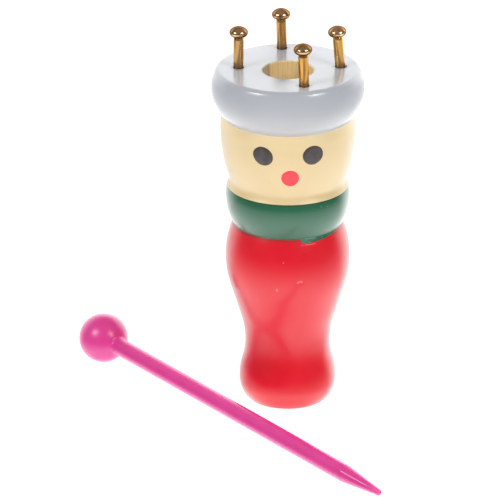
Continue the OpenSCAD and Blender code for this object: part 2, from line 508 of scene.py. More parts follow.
def shine_by_side(tree, low, top):
    """Shine of a surface that has one value where it looks down and another where it looks up."""
    upward = looking_up(tree)
    above = spread(tree, upward, *LOOKS_UP, SIDE_SHINE, top)
    below = spread(tree, upward, *LOOKS_DOWN, low, SIDE_SHINE)
    return largest(tree, above, below)


def paint(
    name, colour, thin, rough, lacquer, lacquer_rough=None, shine=0.5, top_shine=None,
    patches=BAND_PATCHES, edge=0.0, marks_and_light=None,
):
    """Brushed paint under lacquer: thin patches, a soft orange peel, an uneven gloss and perhaps marks and
    painted light.

    The colour is darkened by the share edge where the surface turns away, as painted shade. Paint with a
    top_shine has its shine only where it looks down, the top_shine where it looks up, and little at the
    side.
    """
    material, tree, shader, place = start_material(name)
    hue = blend(tree, mottle(tree, place, patches, 0.0, 1.0), colour, thin)
    hue = marks_and_light(tree, place, hue) if marks_and_light else hue
    # painted shade: the colour darkened where the surface turns away from the one who looks
    edge_shaded = tuple(part * (1 - edge) for part in colour)
    feed(tree, shader, {
        "Base Color": blend(tree, spread(tree, turned_away(tree), *EDGE_SHADE_TURN, 0.0, 1.0), hue, edge_shaded),
        "Roughness": uneven_gloss(tree, place, PAINT_GLOSS, rough),
        "Normal": bump(tree, grain(tree, place, *PAINT_PEEL), PEEL_DEPTH),
        "Specular IOR Level": shine_by_side(tree, shine, top_shine) if top_shine else shine,
        "Coat Weight": lacquer,
        "Coat Roughness": lacquer_rough or rough,
    })
    return material


# Small marks on paint: radius, azimuth in degrees, height, half width and half height. The pale marks on
# the knocks and on a ridge are painted highlights
KNOCK_HIGHLIGHTS = (
    (15.5, 10.9, 36.7, 0.85, 0.32),
    (15.3, -10.3, 34.5, 0.3, 0.5),
    (15.4, -4.2, 41.8, 0.32, 0.22),
)
RIDGE_HIGHLIGHT = (14.15, 21.0, 46.0, 1.9, 0.13)
GOWN_SMUDGES = ((15.0, 15.4, 43.75, 0.5, 0.35), (14.6, 52.6, 45.6, 0.4, 0.3))
COLLAR_SPECKS = (
    (15.4, 31.6, 56.1, 0.25, 0.22),
    (15.45, 38.9, 55.7, 0.2, 0.18),
    (15.45, 47.9, 55.7, 0.22, 0.2),
)
PAINTED_HIGHLIGHT_COLOUR = (0.88, 0.11, 0.12)
SMUDGE_COLOUR = (0.58, 0.006, 0.018)
SPECK_COLOUR = (0.06, 0.26, 0.17)
# Pattern of a mark's edge, how far it strays, and where the edge fades, as shares of the half sizes
MARK_EDGE = (2.2, 3.0, 1.0, 0.3, 0.7)
MARK_STRAY = (-0.5, 0.5)
MARK_FADE = (0.55, 1.1)


def mark(tree, place, radius, azimuth, height, half_w, half_h):
    """Share from 1 to 0 over a small oval with a ragged edge on a turned surface."""
    turn = math.radians(azimuth)
    centre = (radius * math.sin(turn) * MM, (BORE_DRIFT - radius * math.cos(turn)) * MM, height * MM)
    scale = (1 / half_w / MM, 1 / half_w / MM, 1 / half_h / MM)
    off = vector_math(tree, "MULTIPLY", vector_math(tree, "SUBTRACT", place, centre), scale)
    stray = mottle(tree, place, MARK_EDGE, *MARK_STRAY)
    far = calculated(tree, "ADD", vector_math(tree, "LENGTH", off), stray)
    return spread(tree, far, *MARK_FADE, 1.0, 0.0)


def marked(tree, place, hue, marks, colour):
    """Colour with small marks of another colour on it."""
    for settings in marks:
        hue = blend(tree, mark(tree, place, *settings), hue, colour)
    return hue


# Gown: painted shade, as deeper red at the foot, more on the left, and on the shoulder, and as a dark band
# under the collar: spans of height, and of X for the sides, and the strongest share of each blend
FOOT_RISE = (-2.0, 8.0)
FOOT_FADE = (8.0, 22.0)
FOOT_SIDES = (-9.0, 9.0)
SHOULDER_RISE = (37.0, 45.0)
SHOULDER_SHARE = 0.5
SHADED_RED = (0.69, 0.003, 0.016)
CREASE = (UNDER_COLLAR[1] - 1.3, UNDER_COLLAR[1])
UNDER_COLLAR_SHADE_SHARE = 0.75
UNDER_COLLAR_SHADE_COLOUR = (0.27, 0.03, 0.025)


def gown_marks_and_painted_light(tree, place, hue):
    """Painted shade as deeper red at foot and shoulder, painted highlights on knocks and a ridge, smudges,
    and painted shade under the collar.
    """
    height, across = axis_value(tree, place, "Z"), axis_value(tree, place, "X")
    rise, fall = fade(tree, height, FOOT_RISE, 0.0, 1.0), fade(tree, height, FOOT_FADE, 1.0, 0.0)
    foot = product(tree, rise, fall, fade(tree, across, FOOT_SIDES, 1.0, 0.0))
    shoulder = fade(tree, height, SHOULDER_RISE, 0.0, SHOULDER_SHARE)
    # painted shade: deeper red at the foot, more on the left, and on the shoulder below the collar
    hue = blend(tree, largest(tree, foot, shoulder), hue, SHADED_RED)
    # painted highlights: pale red on the knocks and on a ridge below the smear
    hue = marked(tree, place, hue, [*KNOCK_HIGHLIGHTS, RIDGE_HIGHLIGHT], PAINTED_HIGHLIGHT_COLOUR)
    hue = marked(tree, place, hue, GOWN_SMUDGES, SMUDGE_COLOUR)
    # painted shade: a dark band on the gown just under the collar
    return blend(tree, fade(tree, height, CREASE, 0.0, UNDER_COLLAR_SHADE_SHARE), hue, UNDER_COLLAR_SHADE_COLOUR)


# Collar: the smear below it, and painted shade along the edge of the face's paint
SMEAR_EDGE = (UNDER_COLLAR[1] - 0.1, UNDER_COLLAR[1])
SMEAR_PATCHES = (1.1, 4.0, 1.0, 0.4, 0.62)
SMEAR_SHARE = 0.9
SMEAR_COLOUR = (0.05, 0.2, 0.13)
COLLAR_TOP = NECKLINE[1] - FACE_LAP
COLLAR_TOP_SHADE = (COLLAR_TOP - 0.55, COLLAR_TOP)
COLLAR_TOP_SHADE_SHARE = 0.8
COLLAR_TOP_SHADE_COLOUR = (0.03, 0.05, 0.02)


def collar_marks_and_shade(tree, place, hue):
    """Thin mottled green where it was smeared over the gown, pale specks, and painted shade below the face.
    """
    height = axis_value(tree, place, "Z")
    thin = mottle(tree, place, SMEAR_PATCHES, 0.0, SMEAR_SHARE)
    smear = product(tree, fade(tree, height, SMEAR_EDGE, 1.0, 0.0), thin)
    hue = blend(tree, smear, hue, SMEAR_COLOUR)
    hue = marked(tree, place, hue, COLLAR_SPECKS, SPECK_COLOUR)
    # painted shade: near-black green just below the edge of the face's paint
    return blend(tree, fade(tree, height, COLLAR_TOP_SHADE, 0.0, COLLAR_TOP_SHADE_SHARE), hue, COLLAR_TOP_SHADE_COLOUR)


# Face: painted light, paler cream just under the cap
BROW_LIGHT = (BROW[1] - 5.0, BROW[1])
BROW_LIGHT_COLOUR = (0.84, 0.655, 0.375)


def face_brow_light(tree, place, hue):
    """Paler cream just under the cap: painted light."""
    height = axis_value(tree, place, "Z")
    # painted light: the cream paler towards the cap
    return blend(tree, fade(tree, height, BROW_LIGHT, 0.0, 1.0), hue, BROW_LIGHT_COLOUR)


# Cap: spans from the bore's axis, from a pin's foot and of height, and the strongest share of each blend
BORE_RIM_DARK = (6.58, 6.95)
BORE_RIM_DARK_SHARE = 0.75
PIN_STAIN = (1.5, 2.5)
PIN_STAIN_SHARE = 0.9
STAIN_PATCHES = (0.8, 3.0, 1.0, 0.3, 0.65)
STAIN_UNEVEN = (0.35, 1.0)
STAIN_COLOUR = (0.1, 0.13, 0.105)
CAP_LOW_LIGHT = (BROW[1], BROW[1] + 10.0)
CAP_LOW_LIGHT_SHARE = 0.32
CAP_LOW_LIGHT_COLOUR = (0.68, 0.66, 0.63)


def cap_rings_and_painted_light(tree, place, hue):
    """Tarnish that brass leaves round each pin, a darker ring on the bore's rim, and painted light: grey
    paler towards the cap's lower edge.
    """
    off_bore = vector_math(tree, "LENGTH", vector_math(tree, "MULTIPLY", place, (1, 1, 0)))
    # a darker ring round the bore's rim
    stains = [fade(tree, off_bore, BORE_RIM_DARK, BORE_RIM_DARK_SHARE, 0.0)]
    for i in range(len(PIN_NODES)):
        x, y = pin_foot(i)
        off_pin = vector_math(tree, "DISTANCE", place, (x * MM, (y + BORE_DRIFT) * MM, BODY_H * MM))
        stains.append(fade(tree, off_pin, PIN_STAIN, PIN_STAIN_SHARE, 0.0))
    uneven = mottle(tree, place, STAIN_PATCHES, *STAIN_UNEVEN)
    hue = blend(tree, product(tree, largest(tree, *stains), uneven), hue, STAIN_COLOUR)
    # painted light: the grey paler towards the cap's lower edge
    thin = fade(tree, axis_value(tree, place, "Z"), CAP_LOW_LIGHT, CAP_LOW_LIGHT_SHARE, 0.0)
    return blend(tree, thin, hue, CAP_LOW_LIGHT_COLOUR)


# Bare wood, and the painted shade on the bore's left side
WOOD_FIBRES = (2.6, 4.0, 30.0)
DARK_FIBRES = (*WOOD_FIBRES, 0.35, 0.68)
FIBRE_DEPTH = 0.12
BORE_SHADE = (-4.9, -4.0)
BORE_SHADE_SHARE = 0.85
BORE_SHADE_STREAKS = (1.1, 4.0, 12.0, 0.3, 0.6)
BORE_SHADE_UNEVEN = (0.45, 1.0)
BORE_SHADE_COLOUR = (0.26, 0.23, 0.18)


def bore_painted_shade(tree, place, hue):
    """Painted shade, grey, down one side of the bore, thin where the fibres stand out."""
    # painted shade: grey down the bore's left side
    side = fade(tree, axis_value(tree, place, "X"), BORE_SHADE, BORE_SHADE_SHARE, 0.0)
    uneven = mottle(tree, place, BORE_SHADE_STREAKS, *BORE_SHADE_UNEVEN)
    return blend(tree, product(tree, side, uneven), hue, BORE_SHADE_COLOUR)


def bare_wood(name, light, dark, rough, marks_and_light=None):
    """Unpainted wood with its fibres along +Z, and perhaps painted shade on it."""
    material, tree, shader, place = start_material(name)
    hue = blend(tree, mottle(tree, place, DARK_FIBRES, 0.0, 1.0), light, dark)
    feed(tree, shader, {
        "Base Color": marks_and_light(tree, place, hue) if marks_and_light else hue,
        "Normal": bump(tree, grain(tree, place, *WOOD_FIBRES), FIBRE_DEPTH),
        "Roughness": rough,
    })
    return material


# Brass of the pins: front, right, back, left; each pin's shades are painted light, lighter or darker for
# how the light falls on it
SHANK_BRASS = ((0.85, 0.44, 0.11), (0.84, 0.5, 0.16), (0.67, 0.375, 0.135), (0.63, 0.38, 0.16))
HEAD_BRASS = ((0.52, 0.325, 0.17), (0.72, 0.45, 0.24), (0.65, 0.41, 0.22), (0.56, 0.35, 0.19))
TARNISH_AND_SHADE = (0.2, 0.1, 0.045)
BRASS_EDGE = (0.3, 0.22, 0.14)
BRASS_ROUGH = (0.19, 0.268)
BRASS_GLOSS = (0.7, 4.0, 3.0, 0.3, 0.7)
DRAWN_LINES = (1.3, 2.0, 16.0)
DRAWN_DEPTH = 0.015
# Tarnish and painted light: streaks, part tarnish and part painted reflection, spans of height for the foot
# and the head, how far the head turns, and shares; the crown is darkened as painted reflection and the
# head's rim as painted shade
STREAKS = (0.9, 3.0, 16.0, 0.49, 0.72)
STREAK_SHARE = 0.8
DULL_FOOT = (BODY_H + 0.2, BODY_H + 2.4)
DULL_FOOT_SHARE = 0.75
HEAD_START = (BODY_H + 7.6, BODY_H + 8.6)
CROWN_REFLECTION_TURN = (0.1, 0.85)
CROWN_REFLECTION_SHARE = 0.15
HEAD_RIM_SHADE_TURN = (0.2, 0.6)
HEAD_RIM_SHADE_SHARE = 0.85


def brass_with_tarnish_and_shade(name, shank, ball):
    """Drawn brass, dull in streaks that are part tarnish and part painted reflection, tarnished where it
    enters the wood, darkened on its crown as painted reflection and on the rim of its head as painted
    shade.
    """
    material, tree, shader, place = start_material(name)
    height = axis_value(tree, place, "Z")
    head = fade(tree, height, HEAD_START, 0.0, 1.0)
    tarnish_and_shade = largest(
        tree,
        # dark streaks, part tarnish and part painted reflection
        mottle(tree, place, STREAKS, 0.0, STREAK_SHARE),
        fade(tree, height, DULL_FOOT, DULL_FOOT_SHARE, 0.0),
        # painted reflection: the crown darker where it looks up
        product(tree, spread(tree, looking_up(tree), *CROWN_REFLECTION_TURN, 0.0, CROWN_REFLECTION_SHARE), head),
        # painted shade: the head's rim darker where it turns away
        product(tree, spread(tree, turned_away(tree), *HEAD_RIM_SHADE_TURN, 0.0, HEAD_RIM_SHADE_SHARE), head),
    )
    feed(tree, shader, {
        "Base Color": blend(tree, tarnish_and_shade, blend(tree, head, shank, ball), TARNISH_AND_SHADE),
        "Roughness": mottle(tree, place, BRASS_GLOSS, *BRASS_ROUGH),
        "Normal": bump(tree, grain(tree, place, *DRAWN_LINES), DRAWN_DEPTH),
        "Metallic": 1.0,
        "Specular Tint": (*BRASS_EDGE, 1.0),
    })
    return material


# Plastic of the needle
PLASTIC_FLOW = (0.2, 3.0, 1.0, 0.35, 0.7)
PLASTIC_GLOSS = (0.15, 2.0, 1.0, 0.3, 0.7)
PLASTIC_PEEL = (0.3, 2.0, 1.0)
PLASTIC_COAT = 0.15


def moulded_plastic(name, colour, streak, rough, marks_and_light):
    """Gloss plastic with faint flow marks and other marks, with a painted highlight."""
    material, tree, shader, place = start_material(name)
    flow = mottle(tree, place, PLASTIC_FLOW, 0.0, 1.0)
    feed(tree, shader, {
        "Base Color": marks_and_light(tree, place, blend(tree, flow, colour, streak)),
        "Roughness": uneven_gloss(tree, place, PLASTIC_GLOSS, rough),
        "Normal": bump(tree, grain(tree, place, *PLASTIC_PEEL), PEEL_DEPTH),
        "Coat Weight": PLASTIC_COAT,
        "Coat Roughness": rough,
    })
    return material


# Gown: azimuth in degrees, height, half width, half height and depth of each knock in the paint
KNOCKS = (
    (10.9, 36.7, 0.9, 0.4, 0.05),
    (-10.3, 34.5, 0.35, 0.5, 0.04),
    (-4.2, 41.8, 0.5, 0.3, 0.03),
)
# Square of the distance, in half sizes, past which a knock no longer shows
KNOCK_REACH = 9


def knocked(point, azimuth):
    """Point of the gown's section, pressed in where a knock reaches it."""
    r, z = point
    for degrees, height, half_w, half_h, depth in KNOCKS:
        across = r * (azimuth - math.radians(degrees) % (2 * math.pi))
        far = (across / half_w) ** 2 + ((z - height) / half_h) ** 2
        if far < KNOCK_REACH:
            r -= depth * math.exp(-far)
    return r, z


def gown_section(azimuth):
    """Closed section of the red paint at an azimuth."""
    return film([knocked(p, azimuth) for p in GOWN], GOWN)


# Collar: how far its paint laps over the gown, with waves as their number and height, and the smear
LAP_MEAN = 0.1
LAP_WAVES = ((5, 0.08), (17, 0.04))
SMEAR_REACH = 1.15
SMEAR_WAVES = (31, 0.12)
SMEAR_START, SMEAR_FULL, SMEAR_FALL, SMEAR_END = (math.radians(d) for d in (12.8, 14.8, 24, 68))


def collar_reach(azimuth):
    """How far the green paint runs down over the red."""
    around = Vector((math.sin(azimuth), math.cos(azimuth), 0))
    wave = sum(height * noise.noise(around * count) for count, height in LAP_WAVES)
    count, height = SMEAR_WAVES
    smear = ease(SMEAR_START, SMEAR_FULL, azimuth) * (1 - ease(SMEAR_FALL, SMEAR_END, azimuth))
    return LAP_MEAN + wave + smear * (SMEAR_REACH + height * noise.noise(around * count))


def collar_section(azimuth):
    """Closed section of the green paint at an azimuth, with its lap over the red."""
    return film(lap(GOWN, collar_reach(azimuth)) + COLLAR_BEAD)


# Cap: wear round the bore, and the gap between the paint and each pin
RIM_WEAR = 0.12
RIM_WEAR_MEAN = 0.5
RIM_WAVES = 6
PAINT_GAP = 0.14
# Asks for the triangles inside the outer ring, with points this close, in metres, as one
FILL_INSIDE = 1
FILL_WELD = 1e-9
# Share of a hole's radius within which a triangle belongs to the hole
HOLE_SHARE = 0.999


def circle(centre, radius, count):
    """Points round a circle on the flat top."""
    turns = [2 * math.pi * i / count for i in range(count)]
    return [Vector((centre[0] + radius * math.sin(t), centre[1] - radius * math.cos(t))) for t in turns]


def bore_rim():
    """Uneven inner edge of the paint round the bore, in metres."""
    edge = BORE_R + BORE_BEVEL
    centre = Vector((0, -BORE_DRIFT))
    rim = []
    for p in circle((0, 0), 1.0, RIM_SEGMENTS):
        wear = RIM_WEAR * (RIM_WEAR_MEAN + noise.noise(p.to_3d() * RIM_WAVES))
        rim.append((centre + p * (edge + wear)) * MM)
    return rim


def cap_side():
    """Paint round the cap, from its lap over the face up to the flat top."""
    outer = lap(FACE, CAP_LAP) + CAP
    inner = offset(outer, -FILM)
    inner[-1] = (TOP_EDGE[0], BODY_H - FILM)
    inside = flipped(*open_turning(inner, DOLL_SEGMENTS))
    verts, faces = joined(open_turning(outer, DOLL_SEGMENTS), inside)
    count, inward = len(outer), len(verts) // 2
    for i in range(DOLL_SEGMENTS):
        here, there = i * count, (i + 1) % DOLL_SEGMENTS * count
        faces.append((here + inward, there + inward, there, here))
    return verts, faces


def within(point, ring):
    """Whether a point lies in the circle that a ring of points fills."""
    centre = sum(ring, Vector((0, 0))) / len(ring)
    return (point - centre).length < max((p - centre).length for p in ring) * HOLE_SHARE


def filled(outer, holes):
    """Points and triangles of a flat face inside a ring, without those in its holes."""
    flat, edges = [], []
    for ring in (outer, *holes):
        start = len(flat)
        flat += ring
        edges += [(start + k, start + (k + 1) % len(ring)) for k in range(len(ring))]
    points, _, triangles, *_ = geometry.delaunay_2d_cdt(flat, edges, [], FILL_INSIDE, FILL_WELD)
    kept = []
    for tri in triangles:
        middle = sum((points[k] for k in tri), Vector((0, 0))) / len(tri)
        if not any(within(middle, hole) for hole in holes):
            kept.append(tri)
    return points, kept


def cap_top():
    """Paint on the flat top, with holes for the bore and the pins."""
    outer, holes = circle((0, 0), TOP_EDGE[0] * MM, DOLL_SEGMENTS), [bore_rim()]
    for i in range(len(PIN_NODES)):
        holes.append(circle(pin_matrix(i).translation, (PIN_R + PAINT_GAP) * MM, HOLE_SEGMENTS))
    points, triangles = filled(outer, holes)
    verts = [(x, y, z * MM) for z in (BODY_H, BODY_H - FILM) for x, y in points]
    lower, faces = len(points), []
    for tri in triangles:
        faces += [tuple(tri), tuple(lower + k for k in reversed(tri))]
    first = len(outer)
    for hole in holes:
        for k in range(len(hole)):
            a, b = first + k, first + (k + 1) % len(hole)
            faces.append((a, b, b + lower, a + lower))
        first += len(hole)
    return verts, faces


# Core: width of its crown at the foot and at the top, and how far the crown's rim lies below the paint
CROWN_FOOT = 0.8
CROWN_TOP = 0.7
CROWN_DROP = 0.01


def core_side():
    """Turned side of the wooden core, under the paint, up to the floor of the pins' mouths."""
    side = []
    for band in (GOWN, COLLAR_BEAD, FACE, CAP):
        side += offset(band, -CORE_DEPTH)[:-1:CORE_STEP]
    side = [p for p in side if p[1] < BODY_H - PIN_MOUTH_H]
    side[0] = (BASE_EDGE[0] - CORE_DEPTH, 0)
    return side


CORE_SIDE = core_side()


def bore_reach(azimuth, radius):
    """Distance from the turning's axis to a circle about the bore's axis."""
    front, side = BORE_DRIFT * math.cos(azimuth), BORE_DRIFT * math.sin(azimuth)
    return front + math.sqrt(radius**2 - side**2)


def core_section(azimuth):
    """Closed section of the wooden core: its side, its top and the bore with its bevelled rim."""
    wall, rim = bore_reach(azimuth, BORE_R), bore_reach(azimuth, BORE_R + BORE_BEVEL)
    top = BODY_H - PIN_MOUTH_H
    crown = [
        (CORE_SIDE[-1][0], top), (rim + CROWN_FOOT, top),
        (rim + CROWN_TOP, BODY_H - CORE_DEPTH), (rim, BODY_H - CROWN_DROP),
    ]
    bore = [(wall, (BODY_H - BORE_BEVEL) * (1 - k / BORE_STEPS)) for k in range(BORE_STEPS + 1)]
    return CORE_SIDE + crown + bore


# Eyes and nose: azimuth in degrees, height, half width, half height, tilt in degrees, seed of the outline
LEFT_EYE = (-22.0, 70.4, 2.81, 2.57, -25, 1.0)
RIGHT_EYE = (21.3, 70.7, 2.81, 2.65, 8, 7.0)
NOSE = (1.6, 64.7, 2.33, 2.37, 0, 3.0)
# Thickness of a dot, its shares in the middle and added at the rim, and how deep its edge sinks in
DOT_LIFT = 0.045
DOT_MIDDLE = 0.8
DOT_RIM = 0.35
DOT_RIM_POWER = 3
DOT_SINK = 0.02
# How far the outline strays, and how quickly
DOT_WOBBLE = 0.03
DOT_WAVES = 1.3


def face_point(azimuth, height, lift):
    """Point on the face at an azimuth and a height, lifted off it."""
    r = radius_at(FACE, height) + lift
    return Vector((r * math.sin(azimuth), -r * math.cos(azimuth), height)) * MM


def dot_lift(share):
    """Height of a dot above the face, at a share of the way from its middle to its edge."""
    fall = share**EDGE_POWER
    return DOT_LIFT * (1 - fall) * (DOT_MIDDLE + DOT_RIM * share**DOT_RIM_POWER) - DOT_SINK * fall


def dot(degrees, height, half_w, half_h, tilt, seed):
    """Domed dot of thick paint that follows the face, with an outline drawn by hand."""
    azimuth, tilt = math.radians(degrees), math.radians(tilt)
    radius = radius_at(FACE, height)
    lean = math.atan(radius_at(FACE, height + 1) - radius)
    verts, faces = [], []
    for ring in range(DOT_RINGS + 1):
        share = ring / DOT_RINGS
        for k in range(DOT_SEGMENTS):
            turn = 2 * math.pi * k / DOT_SEGMENTS
            around = Vector((math.cos(turn) * DOT_WAVES, math.sin(turn) * DOT_WAVES, seed))
            reach = (1 + DOT_WOBBLE * noise.noise(around)) * share
            across, along = half_w * math.cos(turn), half_h * math.sin(turn)
            x = (across * math.cos(tilt) - along * math.sin(tilt)) * reach
            y = (across * math.sin(tilt) + along * math.cos(tilt)) * reach
            verts.append(face_point(azimuth + x / radius, height + y * math.cos(lean), dot_lift(share)))
    for ring in range(DOT_RINGS):
        here, there = ring * DOT_SEGMENTS, (ring + 1) * DOT_SEGMENTS
        for k in range(DOT_SEGMENTS):
            n = (k + 1) % DOT_SEGMENTS
            faces.append((here + k, there + k, there + n, here + n))
    return verts, faces


# Pins


def pin_socket(i):
    """Mouth of a pin's hole, a little cone of wood round the shank, dark as painted shade."""
    wide, tight = PIN_R + PIN_MOUTH, PIN_R + PIN_FIT
    loop = [
        (tight, -PIN_MOUTH_H), (tight + SOCKET_WALL, -PIN_MOUTH_H),
        (wide + SOCKET_WALL, -FILM / 2), (wide, -FILM / 2),
    ]
    return placed(*turn_about_axis(loop, HOLE_SEGMENTS), pin_matrix(i))


def pin_section(stand):
    """Outline of a pin from its point in the wood to the top of its head."""
    under_head = (PIN_R - PIN_NECK, stand)
    edge = (PIN_HEAD_R, stand + PIN_HEAD_LOW)
    apex = (0.0, stand + PIN_HEAD_H)
    core_r, dome_h = PIN_HEAD_R - PIN_HEAD_ROUND, PIN_HEAD_H - PIN_HEAD_LOW
    dome_r = (core_r**2 + dome_h**2 - PIN_HEAD_ROUND**2) / (2 * (dome_h - PIN_HEAD_ROUND))
    lean = math.asin(core_r / (dome_r - PIN_HEAD_ROUND))
    crown = (dome_r * math.sin(lean), apex[1] - dome_r * (1 - math.cos(lean)))
    return outline([
        ((0.0, -PIN_DEPTH), 0),
        ((PIN_R, PIN_POINT - PIN_DEPTH), 0),
        ((PIN_R, stand - PIN_NECK_H), 0),
        (under_head, quarter(under_head, edge)),
        (edge, rounding(edge, crown, PIN_HEAD_ROUND)),
        (crown, rounding(crown, apex, dome_r)),
        (apex, 0),
    ])


def brass_pin(i):
    """Mesh of a pin in its place."""
    return placed(*open_turning(pin_section(PIN_STAND[i]), PIN_SEGMENTS), pin_matrix(i))


# Needle: the two lines on its taper where the mould closed
MOULD_LINE = math.radians(-37)
MOULD_H = 0.07
MOULD_HALF_W = 0.13
MOULD_END = SHAFT_END + 0.8 * TAPER_L
MOULD_START_L = 0.6
MOULD_END_L = 3.0
# Least radius for the distance from a mould line, so that it stays narrow at the tip
MOULD_LEAST_R = 0.3
# Painted highlight along the mould line in view, and the paler tip
SEAM_HIGHLIGHT_GAP = 0.1
SEAM_HIGHLIGHT_WIDTH = (0.05, 0.2)
SEAM_HIGHLIGHT_START_L = 0.4
SEAM_HIGHLIGHT_COLOUR = (0.95, 0.32, 0.6)
TIP_FADE = 2.0
TIP_SHARE = 0.8
TIP_COLOUR = (0.95, 0.11, 0.37)


def needle_outline():
    """Outline of the needle from the end of its knob to its tip, with height 0 at the knob's centre."""
    fillet_z = math.sqrt((KNOB_R + KNOB_FILLET) ** 2 - (SHAFT_R + KNOB_FILLET) ** 2)
    scale = KNOB_R / (KNOB_R + KNOB_FILLET)
    fillet_start = ((SHAFT_R + KNOB_FILLET) * scale, fillet_z * scale)
    fillet_end = (SHAFT_R, fillet_z)
    tip_end = (0.0, NEEDLE_L - KNOB_R)
    run = tip_end[1] - TIP_R - SHAFT_END
    lean = math.atan2(SHAFT_R, run) - math.asin(TIP_R / math.hypot(SHAFT_R, run))
    tip_start = (TIP_R * math.cos(lean), tip_end[1] - TIP_R + TIP_R * math.sin(lean))
    return outline([
        ((0.0, -KNOB_R), rounding((0, -KNOB_R), (KNOB_R, 0), KNOB_R)),
        ((KNOB_R, 0.0), rounding((KNOB_R, 0), fillet_start, KNOB_R)),
        (fillet_start, -rounding(fillet_start, fillet_end, KNOB_FILLET)),
        (fillet_end, 0),
        ((SHAFT_R, SHAFT_END), 0),
        (tip_start, rounding(tip_start, tip_end, TIP_R)),
        (tip_end, 0),
    ])


NEEDLE = needle_outline()


def needle_section(azimuth):
    """Outline of the needle at an azimuth, raised along its two mould lines on the taper."""
    turn = abs((azimuth - MOULD_LINE + math.pi / 2) % math.pi - math.pi / 2)
    points = []
    for r, z in NEEDLE:
        off = turn * max(r, MOULD_LEAST_R)
        begun = ease(SHAFT_END, SHAFT_END + MOULD_START_L, z)
        left = begun * (1 - ease(MOULD_END - MOULD_END_L, MOULD_END, z))
        points.append((r + MOULD_H * left * math.exp(-((off / MOULD_HALF_W) ** 2)), z))
    return points


def needle_matrix():
    """Place of the needle, which lies on its knob and on the edge where its taper starts."""
    tilt = math.asin(KNOB_R / math.hypot(SHAFT_R, SHAFT_END)) - math.atan2(SHAFT_R, SHAFT_END)
    lie = Matrix.Rotation(math.pi / 2 + tilt, 4, "Y")
    place = Matrix.Translation((-KNOB_BACK * MM, -NEEDLE_LINE * MM, KNOB_R * MM))
    return Matrix.Rotation(NEEDLE_TURN, 4, "Z") @ place @ lie


def on_taper(height):
    """Point on the needle's mould line at a height along its axis, in its place beside the doll."""
    r = radius_at(NEEDLE, height) + MOULD_H
    point = Vector((r * math.sin(MOULD_LINE), -r * math.cos(MOULD_LINE), height)) * MM
    return needle_matrix() @ point + Vector((0, BORE_DRIFT * MM, 0))


def needle_highlight_and_tip(tree, place, hue):
    """Painted highlight along the taper's mould line in view, and a paler, thin tip."""
    start, end = on_taper(SHAFT_END + SEAM_HIGHLIGHT_GAP), on_taper(MOULD_END)
    length, along = (end - start).length / MM, tuple((end - start).normalized())
    off = vector_math(tree, "SUBTRACT", place, tuple(start))
    across = vector_math(tree, "LENGTH", vector_math(tree, "CROSS_PRODUCT", off, along))
    run = vector_math(tree, "DOT_PRODUCT", off, along)
    tip = fade(tree, run, (length - TIP_FADE, length + TIP_FADE), 0.0, TIP_SHARE)
    # painted highlight: pale pink along the mould line in view
    seam_highlight = product(
        tree,
        fade(tree, across, SEAM_HIGHLIGHT_WIDTH, 1.0, 0.0),
        fade(tree, run, (0.0, SEAM_HIGHLIGHT_START_L), 0.0, 1.0),
        fade(tree, run, (length - MOULD_END_L, length), 1.0, 0.0),
    )
    return blend(tree, seam_highlight, blend(tree, tip, hue, TIP_COLOUR), SEAM_HIGHLIGHT_COLOUR)


# Materials and pieces

RED = paint(
    "red_paint", (0.77, 0.003, 0.016), (0.8, 0.005, 0.019), rough=0.31, lacquer=0.2,
    lacquer_rough=0.2, edge=0.42, marks_and_light=gown_marks_and_painted_light,
)
GREEN = paint(
    "green_paint", (0.008, 0.122, 0.054), (0.01, 0.132, 0.06), rough=0.31, lacquer=0.5,
    lacquer_rough=0.24, marks_and_light=collar_marks_and_shade,
)
CREAM = paint(
    "cream_paint", (0.74, 0.56, 0.29), (0.76, 0.585, 0.315), rough=0.4, lacquer=0.5,
    edge=0.36, marks_and_light=face_brow_light,
)
GREY = paint(
    "grey_paint", (0.43, 0.448, 0.483), (0.44, 0.458, 0.493), rough=0.22, lacquer=0.0,
    shine=0.45, top_shine=0.62, marks_and_light=cap_rings_and_painted_light,
)
DARK = paint(
    "eye_paint", (0.032, 0.018, 0.017), (0.06, 0.046, 0.047), rough=0.4, lacquer=0.2, patches=DOT_PATCHES,
)
CORAL = paint(
    "nose_paint", (0.88, 0.018, 0.038), (0.9, 0.025, 0.048), rough=0.4, lacquer=0.2, patches=DOT_PATCHES,
)
WOOD = bare_wood("bare_wood", (0.88, 0.68, 0.35), (0.72, 0.53, 0.25), rough=0.6, marks_and_light=bore_painted_shade)
# painted shade: the pins' mouths are near black
SOCKET_SHADE_WOOD = bare_wood("socket_shade_wood", (0.12, 0.09, 0.06), (0.06, 0.045, 0.03), rough=0.7)
PLASTIC = moulded_plastic(
    "magenta_plastic", (0.735, 0.043, 0.28), (0.775, 0.05, 0.31), rough=0.305, marks_and_light=needle_highlight_and_tip,
)

